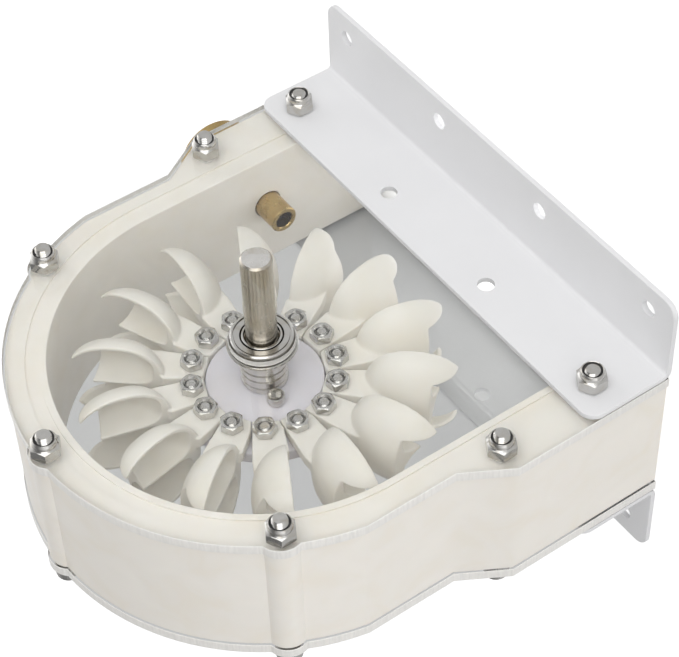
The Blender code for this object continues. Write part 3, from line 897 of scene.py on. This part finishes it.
class TURBINE_OT_brackets(Operator):
    """Build the two painted steel angles"""

    bl_idname = "turbine.brackets"
    bl_label = "Steel angles"

    def execute(self, context):
        s = Sizes()
        front = self.angle(s)
        rear = moved(front.copy(), Matrix.Translation((0, 0, s.rear_face)) @ mirror)
        for node, bm in (("front_angle_bracket", front), ("rear_angle_bracket", rear)):
            flat_shading(finish_piece(node + "_sheet", bm, "paint", "housing", [node]))
        return {"FINISHED"}

    def angle(self, s):
        """The front angle: its section is drawn with a pen, drawn out along x, rounded and
        drilled."""
        b = s.bracket
        floor = -shaft_axis.z
        low = s.housing.fit
        top = floor + b.leg
        bend = (low + b.bend, floor + b.bend)
        pen = Pen(low + b.thickness, top)
        pen.line((low, top), (low, floor + b.bend))
        pen.arc(*bend, quarter, 10)
        inside = floor + b.thickness
        pen.line((b.flange, floor), (b.flange, inside), (low + b.bend, inside))
        pen.arc(*bend, -quarter, 10)
        bm = pen.close().plate(-s.housing.half_width, s.housing.half_width)
        mended(moved(bm, Matrix.Rotation(-quarter, 4, "Y") @ mirror))

        def is_corner(edge):
            one, other = (vert.co for vert in edge.verts)
            if abs(one.x - other.x) > same_place:
                return False
            at_top = max(abs(one.y - top), abs(other.y - top)) < same_place
            at_front = max(abs(one.z - b.flange), abs(other.z - b.flange)) < same_place
            return at_top or at_front

        ease_edges(bm, b.corner, 10, 40.0, is_corner)
        bm.normal_update()
        ease_edges(bm, b.edge, 2, 60.0)
        drills = []
        past = 0.004
        for i in range(4):
            x = (i - 1.5) * b.pitch
            drills.append(shifted(rod(b.hole, past, -past / 2, 32), x, s.fasteners.leg_y, 0))
            down = laid(x, floor, b.flange_hole, quarter, "X")
            drills.append(moved(rod(b.hole, past, -past, 32), down))
        return carved(bm, drills)


class TURBINE_OT_bearings(Operator):
    """Build both flanged bearings: outer race with flange and shield, and inner race"""

    bl_idname = "turbine.bearings"
    bl_label = "Bearings"

    def execute(self, context):
        s = Sizes()
        for end in ("front", "rear"):
            outer = ("outer", self.outer_race(s.bearings, s.housing), "housing")
            inner = ("inner", self.inner_race(s.bearings), "runner")
            for name, bm, body in (outer, inner):
                if end == "rear":
                    moved(bm, Matrix.Translation((0, 0, s.rear_face)) @ mirror)
                node = f"{end}_bearing_{name}_race"
                finish_piece(node + "_steel", bm, "bearing", body, [node])
        return {"FINISHED"}

    def outer_race(self, b, housing):
        top = b.proud
        bottom = top - b.height
        step = min(bottom + b.flange_thickness, -housing.cover_thickness - housing.fit)
        profile = [(b.outer - 0.0003, top), (b.outer, top - 0.0003), (b.outer, step + hair)]
        profile += [(b.outer + hair, step), (b.flange - hair, step), (b.flange, step - hair)]
        profile += [(b.flange, bottom + 2 * hair), (b.flange - 2 * hair, bottom)]
        for z, way in ((bottom, 1), (top, -1)):
            side = [(b.shield_outer + 0.0003, z), (b.shield_outer + 0.0002, z + way * 0.0005)]
            back = z + way * b.shield_depth
            side += [(b.shield_outer, z + way * 0.0005), (b.shield_outer - hair, back)]
            side += [(b.shield_inner + hair, back), (b.shield_inner, z + way * 0.0003)]
            profile += side[::way]
        return turned(profile, 96)

    def inner_race(self, b):
        top = b.proud
        bottom = top - b.height
        high, low = top - 0.00004, bottom + 0.00004
        profile = [(b.race - hair, high), (b.race, high - hair), (b.race, low + hair)]
        profile += [(b.race - hair, low), (b.bore + 0.0003, low), (b.bore, bottom + 0.0003)]
        profile += [(b.bore, top - 0.0016), (b.bore + 0.0004, top - 0.0014), (b.bore + 0.00045, high)]
        return turned(profile, 96)


class TURBINE_OT_shaft(Operator):
    """Build the shaft, the grooved hub sleeve, the rear spacer and the hub screws"""

    bl_idname = "turbine.shaft"
    bl_label = "Shaft and hub"

    def execute(self, context):
        s = Sizes()
        shaft, f, fit, bore = s.shaft, s.fasteners, s.housing.fit, s.bearings.bore
        ends = shaft.radius - shaft.chamfer
        profile = [(0, shaft.front), (ends, shaft.front), (shaft.radius, shaft.front - shaft.chamfer)]
        profile += [(shaft.radius, shaft.rear + shaft.chamfer), (ends, shaft.rear), (0, shaft.rear)]
        bm = turned(profile, 96)
        for face in bm.faces:
            face.material_index = 1 if abs(face.normal.z) > 0.9 else 0
        finish_piece("shaft_ground", bm, "shaft shaft_end", "runner", ["shaft"])
        bm = self.hub(s)
        finish_piece("hub_sleeve_turned", bm, "hub", "runner", ["hub_sleeve"])
        top = s.stem_back - s.runner.disc_thickness - 2 * fit
        bottom = s.rear_face - s.bearings.proud + s.bearings.height + fit
        profile = [(shaft.hub, top), (shaft.hub, bottom), (bore, bottom), (bore, top)]
        bm = ease_edges(turned(profile, 72), 3 * hair)
        finish_piece("rear_spacer_turned", bm, "hub", "runner", ["rear_spacer"])
        for i in range(2):
            turn = shaft.screw_turn + i * pi
            sizes = (shaft.screw_head, shaft.screw_height, shaft.screw_socket, f.small_socket_depth)
            head = moved(socket_head(*sizes, f.small_edge, 24), Matrix.Rotation(pi, 4, "X"))
            x, y = shaft.screw_reach * cos(turn), shaft.screw_reach * sin(turn)
            shifted(head, x, y, s.runner.boss_top + fit)
            node = f"hub_screw_{i + 1}"
            finish_piece(node + "_head", head, "steel", "runner", [node])
        return {"FINISHED"}

    def hub(self, s):
        hub, width, bore = s.shaft.hub, s.shaft.groove_width, s.bearings.bore
        top = s.bearings.proud - s.bearings.height - s.housing.fit
        bottom = s.runner.boss_top + s.housing.fit
        low = hub - s.shaft.groove
        profile = [(hub - 2 * hair, top), (hub, top - 2 * hair)]
        for z in (s.shaft.first_groove, s.shaft.second_groove, s.shaft.third_groove):
            profile += [(hub, z + hair), (low, z - hair / 2)]
            profile += [(low, z - width + hair / 2), (hub, z - width - hair)]
        return turned(profile + [(hub, bottom), (bore, bottom), (bore, top)], 96)


class TURBINE_OT_disc(Operator):
    """Build the runner's disc with its thicker middle"""

    bl_idname = "turbine.disc"
    bl_label = "Runner disc"

    def execute(self, context):
        s = Sizes()
        runner, bore = s.runner, s.bearings.bore
        top = s.stem_back - s.housing.fit
        bottom = top - runner.disc_thickness
        profile = [(bore, runner.boss_top), (runner.boss, runner.boss_top), (runner.boss, top)]
        profile += [(runner.disc, top), (runner.disc, bottom), (bore, bottom)]
        bm = ease_edges(turned(profile, 112), 3 * hair, 3)
        finish_piece("runner_disc_moulded", bm, "disc", "runner", ["runner_disc"])
        return {"FINISHED"}


class TURBINE_OT_bucket_fixings(Operator):
    """Build the fourteen small bolts and nuts that hold the buckets"""

    bl_idname = "turbine.bucket_fixings"
    bl_label = "Bucket bolts and nuts"

    def execute(self, context):
        s = Sizes()
        f, runner, count = s.fasteners, s.runner, s.runner.buckets
        base = runner.stem_top + hair
        seat = s.stem_back - s.housing.fit - runner.disc_thickness - hair
        bolt = self.bolt(f, seat, base + f.small_height - 2 * hair)
        first = Matrix.Rotation(runner.phase, 4, "Z") @ Matrix.Translation((runner.bolt_circle, 0, 0))
        for name, bm in (("bucket_nuts", self.nut(f, base)), ("bucket_bolts", bolt)):
            moved(bm, first)
            round_turn = {"axis": (0, 0, 1), "angle": tau * (count - 1) / count, "steps": count - 1}
            bmesh.ops.spin(bm, geom=everything(bm), use_duplicate=True, **round_turn)
            finish_piece(name, bm, "steel", "runner")
        return {"FINISHED"}

    def nut(self, f, base):
        """A plain hexagon nut, chamfered on both faces, with a countersunk thread."""
        corner = f.small_across / sqrt(3)
        flat = f.small_across / 2
        top = base + f.small_height
        bore = f.small_radius + 2 * hair
        profile = [(bore, base), (flat - hair, base), (corner, base + 0.00025), (corner, top - 0.00035)]
        profile += [(flat - 0.00012, top), (bore + 0.00045, top), (bore, top - 6 * hair)]
        return hexagon_cut(turned(profile, 48), f.small_across)

    def bolt(self, f, seat, tip):
        sizes = (f.small_head, f.small_height, f.small_socket, f.small_socket_depth)
        bm = shifted(socket_head(*sizes, f.small_edge, 24), 0, 0, seat)
        start = tip - f.small_threaded
        added(bm, threaded_rod(f.small_radius, f.small_pitch, f.small_depth, start, tip, 24))
        return added(bm, rod(f.small_radius, start + hair, seat - 5 * hair, 24))


def cup_solid(middle, half_width, depth, flat_side, segments, rings):
    """A closed egg below the rim plane and a straight prism above it, whose outline in that plane
    is a rounded rectangle: x runs out along the bucket, y is its depth and z is across the runner.
    A flat_side of 1 or -1 squares the outline off towards the ridge, and 0 leaves it round. The
    middle is (x, z, half length towards the stem, half length towards the tip)."""
    x, z, inner, outer = middle
    shell_power, ridge_power, bowl_power = 2.3, 4.5, 2.0
    bm = bmesh.new()
    bmesh.ops.create_uvsphere(bm, u_segments=segments, v_segments=rings, radius=1.0)
    for vert in bm.verts:
        along = hypot(vert.co.x, vert.co.y)
        behind = vert.co.z * depth
        if along < same_place:
            vert.co = (x, behind, z)
            continue
        cosine = vert.co.x / along
        sine = vert.co.y / along
        length = outer if cosine > 0 else inner
        power = shell_power
        if flat_side:
            power = ridge_power if flat_side * sine < 0 else bowl_power
        reach = (abs(cosine / length) ** power + abs(sine / half_width) ** power) ** (-1 / power)
        if behind <= 0:
            reach *= along
        vert.co = (x + cosine * reach, behind, z + sine * reach)
    bm.normal_update()
    return mended(bm)


def block(low, high):
    bm = bmesh.new()
    middle = (Vector(low) + Vector(high)) / 2
    size = Vector(high) - Vector(low)
    bmesh.ops.create_cube(bm, matrix=Matrix.LocRotScale(middle, None, size))
    return bm


class TURBINE_OT_buckets(Operator):
    """Build the double-cup buckets: one moulded master, copied round the disc"""

    bl_idname = "turbine.buckets"
    bl_label = "Buckets"

    def execute(self, context):
        s = Sizes()
        runner = s.runner
        master = self.master(s)
        for i in range(runner.buckets):
            bm = bmesh.new()
            bm.from_mesh(master)
            turn = runner.phase + tau * i / runner.buckets
            moved(bm, laid(0, 0, runner.middle, turn, "Z"))
            node = f"bucket_{i + 1:02d}"
            name = node + "_moulded"
            finish_piece(name, bm, "bucket", "runner", [node], 60.0, False)
        bpy.data.meshes.remove(master)
        return {"FINISHED"}

    def master(self, s):
        """One bucket about the shaft's axis, its stem along +x and its cups opening towards +y,
        carved from smooth solids and then remeshed and smoothed, so that its edges and the blend
        from stem to cup are soft as moulded."""
        b = s.bucket
        rim = laid(0, b.lead, 0, b.turn, "Z")
        middle = (b.centre, 0, b.half_length, b.outer_length)
        shell = cup_solid(middle, b.half_width, b.depth, 0, 96, 48)
        far = 0.02
        above = block((far, 0, -far), (3 * far, far, far))
        notch = block((0, -far, -b.notch_width), (far, far, b.notch_width))
        moved(notch, laid(b.notch, 0, 0, -b.notch_lean, "Z"))
        bowls = []
        for side in (1, -1):
            z = side * (b.bowl_width + b.ridge)
            middle = (b.centre + b.bowl_shift, z, b.bowl_length, b.bowl_outer)
            bowl = cup_solid(middle, b.bowl_width, b.bowl_depth, side, 72, 40)
            bowls.append(shifted(bowl, 0, b.bowl_lift, 0))
        for shape in [shell, above, notch] + bowls:
            moved(shape, rim)
        body = carved(carved(shell, [above]), [self.stem(s)], "UNION")
        body = carved(body, bowls + [notch])
        rough = bpy.data.meshes.new("bucket_master")
        body.to_mesh(rough)
        body.free()
        holder = new_object("bucket_master", rough)
        remesh = holder.modifiers.new("Remesh", "REMESH")
        remesh.mode = "VOXEL"
        remesh.voxel_size = b.grain
        smooth = holder.modifiers.new("Smooth", "SMOOTH")
        smooth.factor = 0.5
        smooth.iterations = 4
        holder.modifiers.new("Decimate", "DECIMATE").ratio = 0.3
        graph = bpy.context.evaluated_depsgraph_get()
        master = bpy.data.meshes.new_from_object(holder.evaluated_get(graph))
        bpy.data.objects.remove(holder)
        bpy.data.meshes.remove(rough)
        return master

    def stem(self, s):
        """The flat stem seen from the front, which leads towards +y and has a straight back."""
        pen = Pen(0.0152, 0.00343)
        pen.line((0.0176, 0.0046), (0.0252, 0.0059), (0.0325, 0.0), (0.0325, -0.0026))
        pen.line((0.0280, -0.0032), (0.0152, -0.0032))
        return pen.close().plate(s.stem_back - s.runner.middle, s.runner.stem_top - s.runner.middle)


class TURBINE_OT_nozzle(Operator):
    """Build the brass nozzle tube and the pipe fitting outside the wall"""

    bl_idname = "turbine.nozzle"
    bl_label = "Nozzle and fitting"

    def execute(self, context):
        s = Sizes()
        n = s.nozzle
        tube_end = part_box("nozzle_tube")[1].x
        edge = 3 * hair
        profile = [(n.bore + 2 * hair, n.tip), (n.tube - edge, n.tip), (n.tube, n.tip + edge)]
        profile += [(n.tube, tube_end), (n.bore, tube_end), (n.bore, n.tip + edge)]
        for node, bm in (("nozzle_tube", turned(profile, 64)), ("nozzle_fitting", self.fitting(n))):
            finish_piece(node + "_brass", moved(bm, s.jet), "brass", "housing", [node])
        return {"FINISHED"}

    def fitting(self, n):
        """The shank in the wall's seat and the round head outside it, with a threaded mouth."""
        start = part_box("nozzle_fitting")[0].x
        profile = [(n.bore, start), (n.shank - 0.0003, start), (n.shank, start + 0.0003)]
        profile += [(n.shank, n.collar_start), (n.collar - 0.0005, n.collar_start)]
        profile += [(n.collar, n.collar_start + 0.0005), (n.collar, n.end - 0.0008)]
        profile += [(n.collar - 0.0008, n.end), (n.mouth + 0.0006, n.end), (n.mouth, n.end - 0.0006)]
        for i in range(int((n.end - n.floor - 0.0016) / n.pitch)):
            crest = n.end - 0.0007 - i * n.pitch
            profile += [(n.mouth, crest), (n.mouth + n.thread, crest - n.pitch / 2)]
        return turned(profile + [(n.mouth, n.floor), (n.bore, n.floor)], 96)


class TURBINE_OT_stage(Operator):
    """Set the pale floor, the soft studio light and the camera"""

    bl_idname = "turbine.stage"
    bl_label = "Studio"

    def execute(self, context):
        stage = Sizes().stage
        self.floor(stage)
        self.surround(stage)
        self.lamp(stage)
        self.camera(stage)
        context.scene.view_settings.view_transform = "Standard"
        context.scene.view_settings.look = "None"
        return {"FINISHED"}

    def floor(self, stage):
        """The floor gives some light back, and more of it where the housing's open end covers it, so
        that light comes in by the outlet. The camera sees it evenly lit; reflections and rays through
        the covers see it darker, which is painted shade of the surface behind the covers."""
        bm = bmesh.new()
        bmesh.ops.create_circle(bm, cap_ends=True, radius=stage.floor_radius, segments=96)
        bmesh.ops.translate(bm, verts=bm.verts, vec=(0, 0, -hair))
        mesh = bpy.data.meshes.new("floor")
        bm.to_mesh(mesh)
        bm.free()
        white = (1.0, 1.0, 1.0, 1.0)
        look = Look("pale_floor", 0.7, Specular_IOR_Level=0.1, Emission_Color=white)
        # Painted shade: all rays but the camera's see the floor at 0.60 to 0.64 instead of the camera's
        # 0.86, as if the housing shaded it.
        look.colours(look.grain(0.4, 2.0), (0.3, (0.60,) * 3), (0.7, (0.64,) * 3))
        spot = new_node(look.tree, "TexGradient")
        spot.gradient_type = "SPHERICAL"
        look.mapped(spot, Location=(0, -0.6, 0), Scale=(14, 28, 1))
        low, high = stage.floor_bounce, stage.outlet_light
        glow = new_node(look.tree, "MapRange", From_Max=0.5, To_Min=low, To_Max=high)
        wire(spot, "Fac", glow, "Value")
        wire(glow, "Result", look.shader, "Emission Strength")
        lit = new_node(look.tree, "BsdfPrincipled", Base_Color=(0.86, 0.86, 0.86, 1.0))
        fill(lit, Specular_IOR_Level=0.0, Emission_Color=white, Emission_Strength=stage.floor_glow)
        split_rays("Is Camera Ray", look.shader, lit, look.end)
        mesh.materials.append(look.made)
        floor = new_object("floor", mesh)

    def surround(self, stage):
        """A white surround for the eye, and for the light one that is bright at both sides, as in a
        light tent, and dim in the middle, which streaks the round metal."""
        world = bpy.data.worlds.new("studio")
        bpy.context.scene.world = world
        world.use_nodes = True
        tree = world.node_tree
        backdrop = fill(tree.nodes["Background"], Strength=stage.sky)
        across = new_node(tree, "SeparateXYZ")
        half = new_node(tree, "MapRange", From_Min=-1.0)
        wire(new_node(tree, "TexCoord"), "Generated", across, "Vector")
        wire(across, "X", half, "Value")
        levels = (0.743, 0.462, 0.261, 0.141, 0.101, 0.157, 0.326, 0.607, 1.0)
        stops = [(i / 8, (level,) * 3) for i, level in enumerate(levels)]
        tones(half, "Result", backdrop, "Color", *stops)
        plain = new_node(tree, "Background", Color=(1.0, 1.0, 1.0, 1.0))
        split_rays("Is Camera Ray", backdrop, plain, tree.nodes["World Output"])

    def lamp(self, stage):
        data = bpy.data.lights.new("front_softbox", "AREA")
        data.shape = "DISK"
        data.size = stage.key_size
        data.energy = stage.key
        lamp = new_object("front_softbox", data)
        lamp.location = stage.key_place
        aim = shaft_axis - Vector(stage.key_place)
        lamp.rotation_euler = aim.to_track_quat("-Z", "Y").to_euler()

    def camera(self, stage):
        data = bpy.data.cameras.new("camera")
        data.lens = stage.lens
        data.sensor_width = 36.0
        data.dof.use_dof = False
        camera = new_object("camera", data)
        camera.location = stage.eye
        camera.rotation_euler = stage.eye_turn
        bpy.context.scene.camera = camera


class TURBINE_PT_panel(Panel):
    bl_label = "Pelton wheel turbine"
    bl_idname = "TURBINE_PT_panel"
    bl_space_type = "VIEW_3D"
    bl_region_type = "UI"
    bl_category = "Turbine"

    def draw(self, context):
        for step in steps:
            self.layout.operator(step.bl_idname)
        for name in groups:
            values = getattr(context.scene, name)
            box = self.layout.box()
            box.label(text=name.replace("_", " ").capitalize())
            for key in values.bl_rna.properties.keys():
                if key not in ("rna_type", "name"):
                    box.prop(values, key)


groups = {
    "turbine_" + made.__name__.removeprefix("Turbine").lower(): made
    for made in (
        TurbineHousing,
        TurbineFasteners,
        TurbineBracket,
        TurbineBearings,
        TurbineShaft,
        TurbineRunner,
        TurbineBucket,
        TurbineNozzle,
        TurbineFinishes,
        TurbineStage,
    )
}

steps = (
    TURBINE_OT_looks,
    TURBINE_OT_wall,
    TURBINE_OT_covers,
    TURBINE_OT_tie_bolts,
    TURBINE_OT_brackets,
    TURBINE_OT_bearings,
    TURBINE_OT_shaft,
    TURBINE_OT_disc,
    TURBINE_OT_bucket_fixings,
    TURBINE_OT_buckets,
    TURBINE_OT_nozzle,
    TURBINE_OT_stage,
)


def register():
    for made in (*groups.values(), *steps, TURBINE_PT_panel):
        bpy.utils.register_class(made)
    for name, group in groups.items():
        setattr(bpy.types.Scene, name, PointerProperty(type=group))


def unregister():
    for name in groups:
        delattr(bpy.types.Scene, name)
    for made in (TURBINE_PT_panel, *reversed(steps), *reversed(groups.values())):
        bpy.utils.unregister_class(made)


def main():
    register()
    bpy.ops.turbine.looks()
    bpy.ops.turbine.wall()
    bpy.ops.turbine.covers()
    bpy.ops.turbine.tie_bolts()
    bpy.ops.turbine.brackets()
    bpy.ops.turbine.bearings()
    bpy.ops.turbine.shaft()
    bpy.ops.turbine.disc()
    bpy.ops.turbine.bucket_fixings()
    bpy.ops.turbine.buckets()
    bpy.ops.turbine.nozzle()
    bpy.ops.turbine.stage()


if __name__ == "__main__":
    main()
